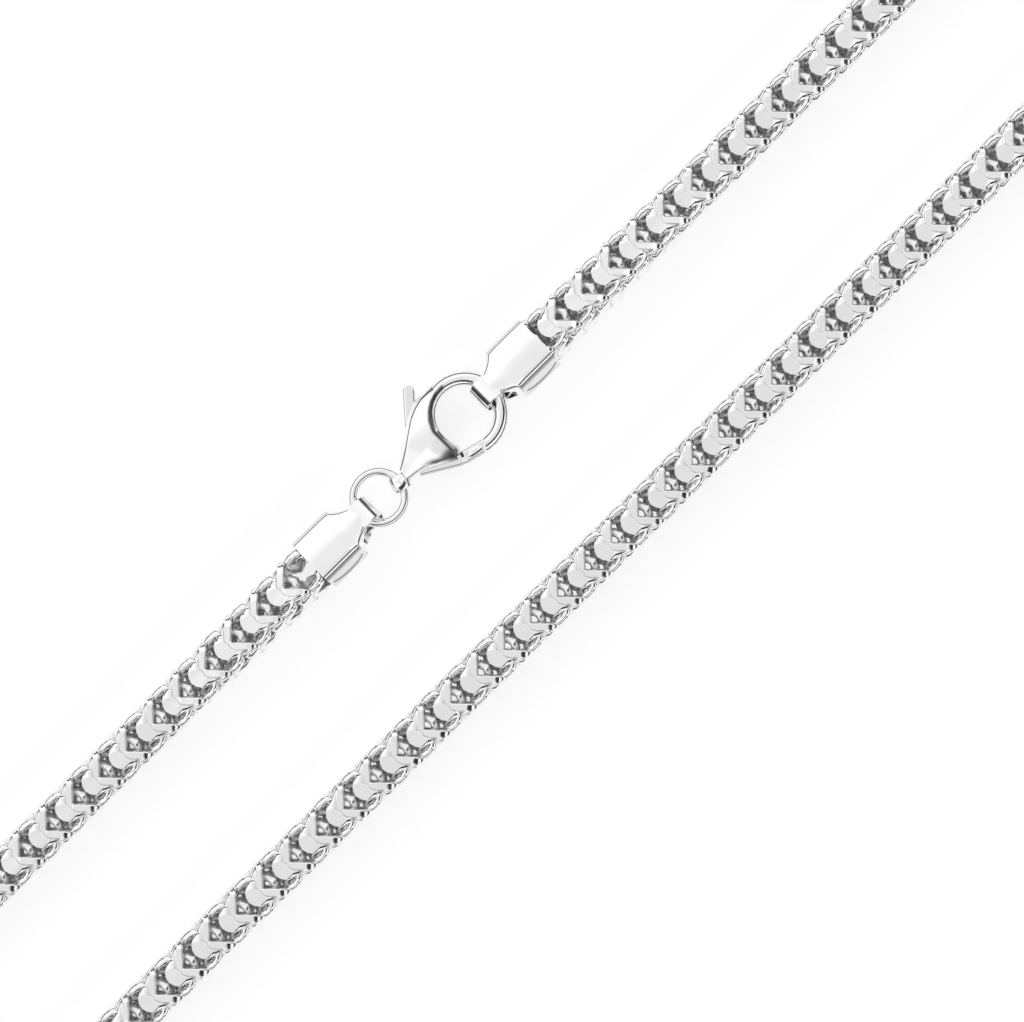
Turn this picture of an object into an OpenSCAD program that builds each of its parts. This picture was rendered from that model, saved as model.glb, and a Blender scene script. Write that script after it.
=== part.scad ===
// Square franco chain necklace in silver, lying on a table as a long narrow loop.
// Millimetres. +X along the runs, +Y towards the run with the clasp, +Z up from the table.

/* [Chain] */
// Length of the whole necklace, once round its centre line
necklace_l = 508; // [460:1:560]
// Width and height of the square chain
chain_w = 3.95; // [3.6:0.05:4.3]
// Rounding of the chain's four long edges
chain_edge_r = 0.9; // [0.6:0.05:1.2]

/* [Loop] */
// Distance between the centre lines of the two straight runs
run_gap = 16.2; // [15:0.1:18]
// Radius of the chain's turn at each end of the loop
bend_r = 12.2; // [11.5:0.1:14]
// Radius with which each run spreads into that turn
ease_r = 20; // [14:1:30]
// Length over which the chain sinks from its cap to the table
sink_l = 22; // [16:1:40]

/* [End caps] */
// Gap between the chain and the inside of its cap
cap_fit = 0.04; // [0.02:0.01:0.08]
// Sheet thickness of the cap's box
cap_wall = 0.16; // [0.12:0.01:0.25]
// Rounding of the cap's long edges
cap_edge_r = 0.45; // [0.3:0.05:0.7]
// Length of the cap's box
cap_body_l = 3.9; // [3.5:0.1:5]
// Length of the neck from the strap's eye centre to the box
neck_l = 1.8; // [1.5:0.1:2.4]
// Radius of the neck's hollow flanks
neck_flank_r = 4; // [3:0.5:8]
// Depth that the chain reaches into the cap
chain_grip = 3; // [2:0.1:3.2]
// Lean of the caps about the chain, in degrees
cap_roll = 13; // [0:1:14]
// Width of the strap that forms the cap's eye
strap_w = 2.2; // [1.8:0.1:2.6]
// Thickness of that strap
strap_t = 0.25; // [0.2:0.05:0.4]
// Radius of the hole in the cap's eye
cap_eye_r = 1.35; // [1.3:0.05:1.5]
// Length of the almond dish in each side of the cap
dish_l = 3.4; // [2.5:0.1:3.4]
// Height of the almond dish
dish_h = 2.2; // [1.4:0.1:2.4]
// Depth of the almond dish
dish_d = 0.08; // [0.04:0.01:0.1]

/* [Jump ring] */
// Mean radius of the ring between the lower cap and the clasp
jump_r = 2.17; // [2:0.05:2.5]
// Radius of its wire
jump_wire_r = 0.4; // [0.3:0.05:0.45]

/* [Clasp] */
// How far the clasp's middle plane lies below the caps' axis
clasp_drop = 0.2; // [0.1:0.05:0.25]
// How far the clasp and its jump ring lie to the outside of the caps' axis
clasp_shift = 0.1; // [0:0.05:0.1]
// Distance from the clasp's eye to its ring, along the clasp
hook_u = 7.6; // [7.2:0.1:8.4]
// Distance from the clasp's eye to its ring, across the clasp
hook_w = 2.45; // [2.2:0.05:2.6]
// Inner radius of the clasp's ring
hook_in_r = 2.35; // [2.2:0.05:2.5]
// Radius of the wire of the clasp's ring
hook_wire_r = 0.68; // [0.55:0.01:0.7]
// Outer radius of the clasp's eye barrel
barrel_r = 0.95; // [0.9:0.01:1.1]
// Radius of the hole in the barrel
barrel_hole_r = 0.66; // [0.64:0.01:0.7]
// Length of the barrel
barrel_l = 1.4; // [1.2:0.05:1.5]
// Half thickness of the domed body
dome_h = 1.95; // [1.6:0.05:2.1]
// Radius of the dome's top and bottom
dome_r = 5.2; // [4.5:0.1:7]
// Radius of the body's shoulder beside the thumb tab
shoulder_r = 1.87; // [1.6:0.05:2.1]
// Step between the dome's edge and the middle of the ring's wire
rim_step = 0.06; // [0:0.02:0.2]
// Length of the straight rim from the ring's far left to the gate's heel
rim_l = 2.25; // [2:0.05:2.4]
// Height of the straight rim between the dome and the ring's hole
rim_t = 2.3; // [2:0.05:2.5]

/* [Clasp lever] */
// Thickness of the lever
lever_t = 1; // [0.8:0.05:1.1]
// Gap between the lever and the slot that it swings in
lever_gap = 0.1; // [0.05:0.01:0.12]
// Pivot of the lever along the clasp, from the eye
pivot_u = 1.7; // [1.6:0.05:1.9]
// Pivot of the lever across the clasp, from the eye
pivot_w = 1; // [0.9:0.05:1.2]
// Radius of the pivot pin
pin_r = 0.25; // [0.2:0.01:0.3]
// Gap round the pin in the lever
pin_gap = 0.05; // [0.03:0.01:0.08]
// Radius of the lever's hub
hub_r = 0.7; // [0.6:0.05:0.8]
// Width of the lever's long arm
arm_w = 1.1; // [0.9:0.05:1.2]
// Width of the gate that closes the ring
gate_w = 1.2; // [1:0.05:1.3]
// Thickness of the gate
gate_t = 1.3; // [1.15:0.05:1.4]
// Width of the thumb tab
tab_w = 1.1; // [0.9:0.05:1.3]
// Reach of the thumb tab from the pivot
tab_reach = 6.7; // [6:0.1:6.8]
// Direction of the thumb tab from the pivot, in degrees from the clasp's line
tab_a = 63; // [60:1:66]
// Swing that opens the gate, in degrees
open_a = 16; // [12:1:18]
// Gap between the gate and the tip of the hook
tip_gap = 0.06; // [0.04:0.01:0.1]
// Slant of the joint between the gate and the hook, in degrees
tip_slant = 26; // [15:1:35]

/* [Hidden] */
$fn = 48;
// What a cut runs past the solid that it cuts, and a lap or a tolerance too small to see.
over = 1;
tiny = 0.01;

// The cap, worked out from the chain that it holds.
cap_in = chain_w + 2 * cap_fit;
cap_w = cap_in + 2 * cap_wall;
cap_eye_out = cap_eye_r + strap_t;
cap_l = cap_eye_out + neck_l + cap_body_l;
pocket_room = 0.2;
pocket_l = chain_grip + pocket_room;
neck_x = cap_eye_out + neck_l;
neck_sink = 0.05;
// A leaning cap stands on its rounded lower edge.
cap_z = (cap_w / 2 - cap_edge_r) * (cos(cap_roll) + sin(cap_roll)) + cap_edge_r;
clasp_z = cap_z - clasp_drop;

// The clasp lies beside the line between the two caps' eyes. The middle of its barrel is eye_w
// across from its eye's origin, and the jump ring's middle is jump_w across.
hook_mid_r = hook_in_r + hook_wire_r;
hook_c = [hook_u, hook_w];
eye_w = 0.3;
jump_w = 0.15;
clasp_a = -atan(hook_w / (hook_u + jump_r));
eye_span = hook_mid_r + norm([hook_u + jump_r, hook_w]) + jump_r;
run_y = run_gap / 2;
eye_x = eye_span / 2;
mouth_x = eye_x - cap_eye_out + cap_l;
hook_x = eye_x - hook_mid_r;
clasp_x = hook_x - hook_u * cos(clasp_a) + hook_w * sin(clasp_a);
clasp_y = run_y + clasp_shift - hook_u * sin(clasp_a) - hook_w * cos(clasp_a);

// The loop: straight runs joined by a wide turn at each end.
ease_a = acos((run_y + ease_r) / (bend_r + ease_r));
bend_a = 180 + 2 * ease_a;
turn_l = (2 * ease_r * ease_a + bend_r * bend_a) * PI / 180;
run_x = (necklace_l - 2 * turn_l) / 4;
bend_x = run_x + (ease_r + bend_r) * sin(ease_a);

// Each station is [x, y, heading]. The route goes from the upper cap round to the lower one.
ease_n = 2;
bend_n = 16;
sink_n = 5;
run_n = 6;
long_n = 15;
start_x = mouth_x - chain_grip;
function ease_out(t) = [run_x + ease_r * sin(t), run_y + ease_r * (1 - cos(t)), t];
function ease_in(t) = [run_x + ease_r * sin(t), -run_y - ease_r * (1 - cos(t)), -180 - t];
function bend(h) = [bend_x - bend_r * sin(h), bend_r * cos(h), h];
turn = concat(
    [for (i = [0:ease_n - 1]) ease_out(ease_a * i / ease_n)],
    [for (i = [0:bend_n]) bend(ease_a - bend_a * i / bend_n)],
    [for (i = [ease_n - 1:-1:0]) ease_in(ease_a * i / ease_n)]);
sink_x = mouth_x + sink_l;
near_end = concat(
    [[start_x, run_y, 0], [mouth_x, run_y, 0]],
    [for (i = [1:sink_n]) [mouth_x + sink_l * i / sink_n, run_y, 0]],
    [for (i = [1:run_n - 1]) [sink_x + (run_x - sink_x) * i / run_n, run_y, 0]]);
long_run = [for (i = [1:long_n - 1]) [run_x - 2 * run_x * i / long_n, -run_y, -180]];
far_turn = [for (p = turn) [-p[0], -p[1], p[2] - 180]];
far_end = [for (i = [len(near_end) - 1:-1:0]) [-near_end[i][0], run_y, -360]];
route = concat(near_end, turn, long_run, far_turn, far_end);

// The chain leaves each cap at the cap's height and lean, and sinks flat onto the table.
function sunk(d) = let (t = min(1, max(0, d / sink_l))) 1 - t * t * (3 - 2 * t);
function held(p) = abs(p[1] - run_y) > tiny ? 0 : sunk(abs(p[0]) - mouth_x);
function height(p) = chain_w / 2 + (cap_z - chain_w / 2) * held(p);

// One cross-section: a square with each corner rounded through three points.
function corner(k) = let (c = chain_w / 2 - chain_edge_r)
    [for (a = [0, 45, 90]) [c * sign(cos(45 + 90 * k)) + chain_edge_r * cos(a + 90 * k),
                            c * sign(sin(45 + 90 * k)) + chain_edge_r * sin(a + 90 * k)]];
section = [for (k = [0:3]) each corner(k)];
sides = len(section);
function placed(p, q) = let (r = -cap_roll * held(p),
                             a = q[0] * cos(r) - q[1] * sin(r),
                             b = q[0] * sin(r) + q[1] * cos(r))
    [p[0] - a * sin(p[2]), p[1] + a * cos(p[2]), height(p) + b];

module chain() {
    rings = len(route);
    points = [for (p = route) each [for (q = section) placed(p, q)]];
    skin = [for (i = [0:rings - 2]) each [for (j = [0:sides - 1])
        [i * sides + j, (i + 1) * sides + j, (i + 1) * sides + (j + 1) % sides,
         i * sides + (j + 1) % sides]]];
    first = [for (j = [0:sides - 1]) j];
    last = [for (j = [sides - 1:-1:0]) (rings - 1) * sides + j];
    color("silver") polyhedron(points, concat([first], skin, [last]), convexity = 10);
}

// A square with round corners, from two bars and four discs.
module round_square(w, r) {
    square([w, w - 2 * r], center = true);
    square([w - 2 * r, w], center = true);
    for (x = [-1, 1], y = [-1, 1]) translate([x, y] * (w / 2 - r)) circle(r);
}

// Centre of the circle of radius r through p and q that lies to the left of p to q.
function arc_centre(p, q, r) = let (m = (p + q) / 2, d = q - p, l = norm(d))
    m + [-d[1], d[0]] / l * sqrt(r * r - l * l / 4);

// The cap's outline from the eye to the mouth: strap, hollow flanks and box.
module cap_outline(strap_h, flank_r) {
    p = [cap_eye_out, strap_h];
    q = [neck_x, cap_w / 2];
    c = arc_centre(p, q, flank_r);
    translate([neck_x - tiny, -cap_w / 2]) square([cap_body_l + tiny, cap_w]);
    difference() {
        polygon([[p[0], -p[1]], [q[0], -q[1]], q, p]);
        for (s = [-1, 1]) translate([c[0], s * c[1]]) circle(flank_r, $fn = 96);
    }
}

// An almond, where two equal discs overlap.
module almond(l, h) {
    r = (l * l + h * h) / (4 * h);
    intersection_for(s = [-1, 1]) translate([0, s * (r - h / 2)]) circle(r, $fn = 96);
}

// One cap: the eye's end at x = 0, the mouth at x = cap_l, its axis along x.
module end_cap() {
    difference() {
        union() {
            intersection() {
                rotate([90, 0, 90]) linear_extrude(cap_l) round_square(cap_w, cap_edge_r);
                translate([0, 0, -cap_w / 2]) linear_extrude(cap_w) cap_outline(strap_w / 2, neck_flank_r);
                translate([0, cap_w / 2, 0]) rotate([90, 0, 0]) linear_extrude(cap_w)
                    cap_outline(cap_eye_out - neck_sink, neck_flank_r);
            }
            translate([cap_eye_out, 0, 0]) rotate([90, 0, 0])
                cylinder(r = cap_eye_out, h = strap_w, center = true);
        }
        translate([cap_eye_out, 0, 0]) rotate([90, 0, 0])
            cylinder(r = cap_eye_r, h = cap_w + over, center = true);
        translate([cap_l - pocket_l, 0, 0]) rotate([90, 0, 90])
            linear_extrude(pocket_l + over) round_square(cap_in, cap_edge_r);
        for (s = [-1, 1])
            translate([neck_x + cap_body_l / 2, s * (cap_w / 2 - dish_d / 2 + over / 2), 0])
                rotate([90, 0, 0]) linear_extrude(dish_d + over, center = true) almond(dish_l, dish_h);
    }
}

module end_cap_upper() {
    color("gainsboro") translate([eye_x - cap_eye_out, run_y, cap_z]) rotate([-cap_roll, 0, 0]) end_cap();
}

module end_cap_lower() {
    color("gainsboro") translate([cap_eye_out - eye_x, run_y, cap_z]) rotate([cap_roll, 0, 180]) end_cap();
}

// Places a piece of the clasp: u along it, w across it, from the middle of its eye.
module in_clasp() {
    translate([clasp_x, clasp_y, clasp_z]) rotate([0, 0, clasp_a]) children();
}

module jump_ring() {
    color("lightgray") in_clasp() translate([-jump_r, jump_w, 0])
        rotate_extrude() translate([jump_r, 0]) circle(jump_wire_r);
}

// Direction of the outer tangent's normal of two discs, on the left of a to b.
function tangent(a, ra, b, rb) = let (d = b - a, g = atan2(d[1], d[0]) + acos((ra - rb) / norm(d)))
    [cos(g), sin(g)];

// Main points of the clasp: the shoulder and the dome's top are placed from the ring's centre,
// and the throat, where the body meets the barrel, from the eye.
pivot = [pivot_u, pivot_w];
hook_out_r = hook_mid_r + hook_wire_r;
shoulder = hook_c + [-3.25, 0.6];
dome_c = hook_c + [-3.8, -0.15];
throat = [0.45, 0.5];
throat_r = 0.85;
// Height of the ridge at the dome's top, as a share of the dome's.
ridge_share = 0.8;
// The ring's wire leaves its circle at the far left and runs straight to the gate's heel.
heel_a = 15;
heel_top = hook_c - [hook_mid_r, 0];
heel = heel_top + rim_l * [sin(heel_a), -cos(heel_a)];
// The gate starts gate_l before the ring's middle, and its thick pad gate_pad before it.
gate_l = 2.3;
gate_pad = 0.6;
gate_drop = 0.05;
gate_y = hook_w - hook_mid_r - gate_drop;
gate_start = [hook_u - gate_l, gate_y];
pad_start = [hook_u - gate_pad, gate_y];
arm_start = pivot + [0.2, -0.62];
joint_c = [hook_u + 2 * gate_drop, hook_w - hook_mid_r];
// Gap between the body and the jump ring that passes its throat.
ring_relief = 0.1;
// Side of a square block that covers the whole gate.
block = 4;

// A bar with round ends.
module bar(p, q, w) {
    d = q - p;
    translate(p) rotate(atan2(d[1], d[0])) translate([0, -w / 2]) square([norm(d), w]);
    for (c = [p, q]) translate(c) circle(w / 2);
}

// Everything on the gate's side of the slanted joint, moved along the clasp by shift.
module gate_side(shift) {
    translate(joint_c + [shift, 0]) rotate(-tip_slant) translate([-block, -block / 2]) square(block);
}

// The lever seen from above, widened all round by g.
module lever_plan(g) {
    translate(pivot) circle(hub_r + g);
    bar(arm_start, gate_start, arm_w + 2 * g);
    bar(gate_start, pad_start, gate_w + 2 * g);
    bar(pivot, pivot + (tab_reach - tab_w / 2) * [cos(tab_a), sin(tab_a)], tab_w + 2 * g);
}

// The gate's end seen from above, up to the joint.
module gate_plan() {
    intersection() {
        bar(pad_start, joint_c, gate_w);
        gate_side(-tip_gap);
    }
}

module clasp_lever() {
    color("whitesmoke") in_clasp() difference() {
        union() {
            linear_extrude(lever_t, center = true) lever_plan(0);
            linear_extrude(gate_t, center = true) gate_plan();
        }
        translate([pivot_u, pivot_w, 0]) cylinder(r = pin_r + pin_gap, h = lever_t + over, center = true);
    }
}

// The blind pin is seated in the shell above and below the lever's slot.
pin_seat_up = 0.22;
pin_seat_low = 0.35;
pin_seat_gap = 0.005;
pin_top = lever_t / 2 + lever_gap + pin_seat_up;
pin_low = -lever_t / 2 - lever_gap - pin_seat_low;

module clasp_pin() {
    color("darkgray") in_clasp() translate([pivot_u, pivot_w, pin_low])
        cylinder(r = pin_r, h = pin_top - pin_low);
}

// The domed body seen from above: throat and shoulder, up to the ring's middle.
belly = [arm_start + [0.8, -0.2], heel + [0.1, -0.75]];
module body_plan() {
    n1 = tangent(throat, throat_r, shoulder, shoulder_r);
    n2 = tangent(shoulder, shoulder_r, hook_c, hook_out_r);
    difference() {
        union() {
            polygon([throat + throat_r * n1, shoulder + shoulder_r * n1, shoulder + shoulder_r * n2,
                     hook_c + hook_out_r * n2, hook_c, belly[1], belly[0],
                     throat - [0, throat_r / 2]]);
            translate(throat) circle(throat_r);
            translate(shoulder) circle(shoulder_r);
        }
        translate(hook_c) circle(hook_mid_r - rim_step, $fn = 96);
        translate([-jump_r, jump_w]) circle(jump_r + jump_wire_r + ring_relief, $fn = 96);
        polygon([heel_top + [rim_step, rim_step], heel_top + [block, rim_step],
                 heel + [block, -block / 2], heel + [rim_step, 0]]);
    }
}

// The solid that the plan is cut from: two shallow spheres and a cone along the ridge.
module dome() {
    ridge = dome_c - [0, eye_w];
    intersection_for(s = [-1, 1]) translate([dome_c[0], dome_c[1], s * (dome_h - dome_r)])
        sphere(dome_r, $fn = 96);
    translate([0, eye_w, 0]) rotate([0, 90, atan2(ridge[1], ridge[0])])
        cylinder(r1 = barrel_r, r2 = dome_h * ridge_share, h = norm(ridge), $fn = 96);
}

// The ring: a round wire from the joint to the far left, then a straight, taller rim to the heel.
module hook_wire() {
    difference() {
        translate([hook_u, hook_w, 0]) rotate_extrude($fn = 96) translate([hook_mid_r, 0])
            circle(hook_wire_r);
        linear_extrude(block, center = true) gate_side(tip_gap);
        linear_extrude(block, center = true)
            polygon([heel_top - [hook_wire_r + over, 0], hook_c, joint_c + [0, hook_wire_r],
                     joint_c + [-block, hook_wire_r]]);
    }
    linear_extrude(rim_t, center = true) bar(heel_top, heel, 2 * hook_wire_r);
}

module clasp_body() {
    swing_step = open_a / 4;
    color("gainsboro") in_clasp() difference() {
        union() {
            intersection() {
                linear_extrude(2 * dome_h, center = true) body_plan();
                dome();
            }
            hook_wire();
            translate([0, eye_w, 0]) rotate([90, 0, 0]) cylinder(r = barrel_r, h = barrel_l, center = true);
        }
        translate([0, eye_w, 0]) rotate([90, 0, 0])
            cylinder(r = barrel_hole_r, h = barrel_l + tiny, center = true);
        linear_extrude(lever_t + 2 * lever_gap, center = true) for (i = [0:4])
            translate(pivot) rotate(i * swing_step) translate(-pivot) lever_plan(lever_gap);
        translate([pivot_u, pivot_w, pin_low - over])
            cylinder(r = pin_r + pin_seat_gap, h = pin_top - pin_low + over);
    }
}

chain();
end_cap_upper();
end_cap_lower();
jump_ring();
clasp_body();
clasp_lever();
clasp_pin();
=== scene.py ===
# %% [markdown]
# # A square franco chain necklace in silver
# The necklace lies on a pale table as a long narrow loop. Its clasp is in the middle of the
# upper run, and the lower run passes in front of it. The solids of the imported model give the
# places, and the sizes that the pieces share with them are named here again. The pieces have
# the finish of the real ones: chain links of bent wire, softly domed sheet caps, a cast clasp.

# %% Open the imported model
import math

import bpy
import numpy as np
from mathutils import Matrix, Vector


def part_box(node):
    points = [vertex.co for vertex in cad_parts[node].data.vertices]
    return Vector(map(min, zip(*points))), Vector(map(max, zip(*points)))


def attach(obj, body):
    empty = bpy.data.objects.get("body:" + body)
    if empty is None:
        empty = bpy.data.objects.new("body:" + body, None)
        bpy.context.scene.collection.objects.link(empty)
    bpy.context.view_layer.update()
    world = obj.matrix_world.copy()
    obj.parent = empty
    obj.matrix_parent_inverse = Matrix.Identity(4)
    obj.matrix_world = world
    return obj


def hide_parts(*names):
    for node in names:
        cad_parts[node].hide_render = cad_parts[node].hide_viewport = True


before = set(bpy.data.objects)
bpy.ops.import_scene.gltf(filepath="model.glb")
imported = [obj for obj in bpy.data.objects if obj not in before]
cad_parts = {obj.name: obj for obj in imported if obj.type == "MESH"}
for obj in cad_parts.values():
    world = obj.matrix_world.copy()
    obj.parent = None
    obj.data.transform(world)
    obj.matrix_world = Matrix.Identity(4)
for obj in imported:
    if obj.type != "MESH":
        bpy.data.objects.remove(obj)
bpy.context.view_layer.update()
MM = 0.001
print("solids in the frame:", sorted(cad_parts))

# %% [markdown]
# ## Camera
# The picture is taken from straight above with a long lens, turned so that the runs climb from
# the lower left to the upper right. The camera aims between the two runs, beside the clasp, at
# half the chain's height.

# %% Camera over the clasp
VIEW_CENTRE = (1.70 * MM, -0.32 * MM, 2.0 * MM)
VIEW_WIDTH = 86.0 * MM
VIEW_TURN = math.radians(44.72)
LENS = 130.0
CLIP_NEAR, CLIP_FAR = 0.01, 10

camera = bpy.data.objects.new("camera", bpy.data.cameras.new("camera"))
bpy.context.scene.collection.objects.link(camera)
camera.data.lens = LENS
view_distance = VIEW_WIDTH * LENS / camera.data.sensor_width
camera.location = Vector(VIEW_CENTRE) + Vector((0, 0, view_distance))
camera.rotation_euler = (0, 0, -VIEW_TURN)
camera.data.clip_start, camera.data.clip_end = CLIP_NEAR, CLIP_FAR
bpy.context.scene.camera = camera
print("camera height in mm:", round(view_distance / MM))

# %% [markdown]
# ## Table and light
# Polished silver shows its surroundings, so the light is built as the room that it reflects.
# The table is a light table: it glows, so no shadow greys the openings of the links. A white
# tent stands round it. Straight above is a grey shade, and two dark slots beside it draw thin
# lines along the rounded edges, a strong one in front and a faint one behind. The tent ends
# above the table, and the dark gap below it draws the outlines. The world colour comes from
# the direction alone, so it stays the same for every view.

# %% White table
TABLE_HALF = 1.5
TABLE_TONE = 0.34
TABLE_ROUGHNESS = 0.9
TABLE_SHINE = 0.1
TABLE_GLOW = 0.75


def plain_material(name, colour, roughness):
    """A material of one even colour."""
    made = bpy.data.materials.new(name)
    made.use_nodes = True
    shader = made.node_tree.nodes["Principled BSDF"]
    shader.inputs["Base Color"].default_value = (*colour, 1)
    shader.inputs["Roughness"].default_value = roughness
    return made


def mesh_piece(name, points, faces, material=None):
    """A mesh object at the origin from arrays of points in metres and faces."""
    mesh = bpy.data.meshes.new(name)
    mesh.from_pydata(np.asarray(points).tolist(), [], np.asarray(faces).tolist())
    mesh.update()
    made = bpy.data.objects.new(name, mesh)
    bpy.context.scene.collection.objects.link(made)
    if material:
        mesh.materials.append(material)
    return made


table_corners = TABLE_HALF * np.array([[-1, -1, 0], [1, -1, 0], [1, 1, 0], [-1, 1, 0]])
table_white = plain_material("table_white", (TABLE_TONE,) * 3, TABLE_ROUGHNESS)
table_shader = table_white.node_tree.nodes["Principled BSDF"]
table_shader.inputs["Specular IOR Level"].default_value = TABLE_SHINE
table_shader.inputs["Emission Color"].default_value = (1, 1, 1, 1)
table_shader.inputs["Emission Strength"].default_value = TABLE_GLOW
table = mesh_piece("table", table_corners, [[0, 1, 2, 3]], table_white)

# %% Tent of light
TENT_LIGHT = 1.12
SHADE_LIGHT = 0.80
SLOT_LIGHT = 0.03
GAP_LIGHT = 0.08
# Borders of the dark forms, each from where it starts to where it is full: the gap by its
# height, the shade by its angle from straight up, the slots by their half widths, the height
# that the front one reaches down to, and how far they run.
GAP_EDGE = (math.sin(math.radians(28)), math.sin(math.radians(14)))
SHADE_EDGE = (math.cos(math.radians(16)), math.cos(math.radians(10)))
FRONT_TILT = math.radians(27)
FRONT_HALF = (math.sin(math.radians(15)), math.sin(math.radians(9)))
FRONT_HIGH = (0.2, 0.35)
REAR_TILT = math.radians(20)
REAR_HALF = (math.sin(math.radians(11)), math.sin(math.radians(5)))
REAR_SHARE = 0.22
SLOT_END = (0.9, 0.6)

scene = bpy.context.scene
scene.view_settings.view_transform = "Standard"
scene.world = bpy.data.worlds.new("tent")
scene.world.use_nodes = True
tent = scene.world.node_tree


def add_node(tree, kind, **settings):
    """A shader node with its settings made."""
    made = tree.nodes.new(kind)
    for key, value in settings.items():
        setattr(made, key, value)
    return made


def set_sockets(tree, node, values):
    """Sockets of a node from {name or number: value or the socket that feeds it}."""
    for key, value in values.items():
        if isinstance(value, bpy.types.NodeSocket):
            tree.links.new(value, node.inputs[key])
        else:
            node.inputs[key].default_value = value
    return node


def calc(tree, operation, *values):
    """A Math node's result."""
    node = add_node(tree, "ShaderNodeMath", operation=operation)
    return set_sockets(tree, node, dict(enumerate(values))).outputs[0]


def ramp(tree, value, start, end):
    """0 where value is at start, 1 where it is at end, smooth between."""
    node = add_node(tree, "ShaderNodeMapRange", interpolation_type="SMOOTHSTEP")
    set_sockets(tree, node, {"Value": value, "From Min": start, "From Max": end})
    return node.outputs["Result"]


def blend_value(tree, mask, low, high):
    """low where the mask is 0 and high where it is 1."""
    node = add_node(tree, "ShaderNodeMix", data_type="FLOAT")
    return set_sockets(tree, node, {0: mask, 2: low, 3: high}).outputs[0]


direction = add_node(tent, "ShaderNodeTexCoord").outputs["Generated"]
axes = add_node(tent, "ShaderNodeSeparateXYZ")
tent.links.new(direction, axes.inputs[0])
across, along, up = axes.outputs[1], axes.outputs[0], axes.outputs[2]


def slot_mask(tilt, half):
    """1 inside a dark slot that runs along X, tilted from straight up towards Y."""
    off = calc(tent, "ADD", calc(tent, "MULTIPLY", across, math.cos(tilt)),
               calc(tent, "MULTIPLY", up, -math.sin(tilt)))
    near = ramp(tent, calc(tent, "ABSOLUTE", off), *half)
    return calc(tent, "MULTIPLY", near, ramp(tent, calc(tent, "ABSOLUTE", along), *SLOT_END))


shade = ramp(tent, up, *SHADE_EDGE)
gap = ramp(tent, up, *GAP_EDGE)
light = blend_value(tent, gap, TENT_LIGHT, GAP_LIGHT)
light = blend_value(tent, shade, light, SHADE_LIGHT)
above = ramp(tent, up, *FRONT_HIGH)
front_slot = calc(tent, "MULTIPLY", slot_mask(-FRONT_TILT, FRONT_HALF), above)
rear_slot = calc(tent, "MULTIPLY", slot_mask(REAR_TILT, REAR_HALF), REAR_SHARE)
light = blend_value(tent, front_slot, light, SLOT_LIGHT)
light = blend_value(tent, rear_slot, light, SLOT_LIGHT)
background = tent.nodes["Background"]
tent.links.new(light, background.inputs["Color"])
print("tent, shade and slot:", TENT_LIGHT, SHADE_LIGHT, SLOT_LIGHT)

# %% [markdown]
# ## Silver
# The chain is tumbled wire with flats cut bright on its faces. The clasp, its ring and the caps
# are polished by wheel, which leaves very fine hairlines. Both finishes share two groups: one
# for the hairlines and one for the faint bloom that makes silver a little uneven. An attribute
# named "depth" says where the silver is made darker. On the caps and the clasp that is painted
# shade: dark lines along the caps' sides and a dark crevice on the clasp. On the chain the
# silver turns greyer, rougher and less metallic deeper below the chain's faces and in the groove.

# %% Hairlines and bloom
FINE_LINES = dict(stretch=(1, 14, 1), detail=2.0, turn=0.5)
COARSE_LINES = dict(stretch=(9, 1, 9), detail=1.0, turn=-0.3)
PATCHES = dict(stretch=(1, 1, 1), detail=3.0)
BLOOM_EDGE = (0.35, 0.75)
BLOOM_SHARE = 0.6
BUMP_STRENGTH = 0.25


def effect_group(name, inputs, outputs):
    """An empty shader group with float inputs and named outputs, and its two end nodes."""
    group = bpy.data.node_groups.new(name, "ShaderNodeTree")
    for label, start in inputs.items():
        socket = group.interface.new_socket(label, in_out="INPUT", socket_type="NodeSocketFloat")
        socket.default_value = start
    for label, kind in outputs.items():
        group.interface.new_socket(label, in_out="OUTPUT", socket_type=kind)
    return (group, group.nodes.new("NodeGroupInput").outputs,
            group.nodes.new("NodeGroupOutput").inputs)


def stretched_noise(tree, scale, stretch, detail, turn=0.0):
    """Noise on Object coordinates, drawn out along one direction."""
    place = add_node(tree, "ShaderNodeTexCoord").outputs["Object"]
    turned = add_node(tree, "ShaderNodeMapping")
    set_sockets(tree, turned, {"Vector": place, "Rotation": (0, 0, turn), "Scale": stretch})
    noise = add_node(tree, "ShaderNodeTexNoise")
    set_sockets(tree, noise, {"Vector": turned.outputs[0], "Scale": scale, "Detail": detail})
    return noise.outputs["Fac"]


hairlines, line_in, line_out = effect_group(
    "hairlines", {"Scale": 900.0}, {"Height": "NodeSocketFloat"})
fine = stretched_noise(hairlines, line_in["Scale"], **FINE_LINES)
coarse = stretched_noise(hairlines, line_in["Scale"], **COARSE_LINES)
hairlines.links.new(calc(hairlines, "ADD", fine, coarse), line_out["Height"])

bloom, bloom_in, bloom_out = effect_group(
    "bloom", {"Scale": 300.0, "Depth": 0.5}, {"Mask": "NodeSocketFloat"})
patches = ramp(bloom, stretched_noise(bloom, bloom_in["Scale"], **PATCHES), *BLOOM_EDGE)
bloom.links.new(calc(bloom, "MULTIPLY", patches, bloom_in["Depth"]), bloom_out["Mask"])


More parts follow.
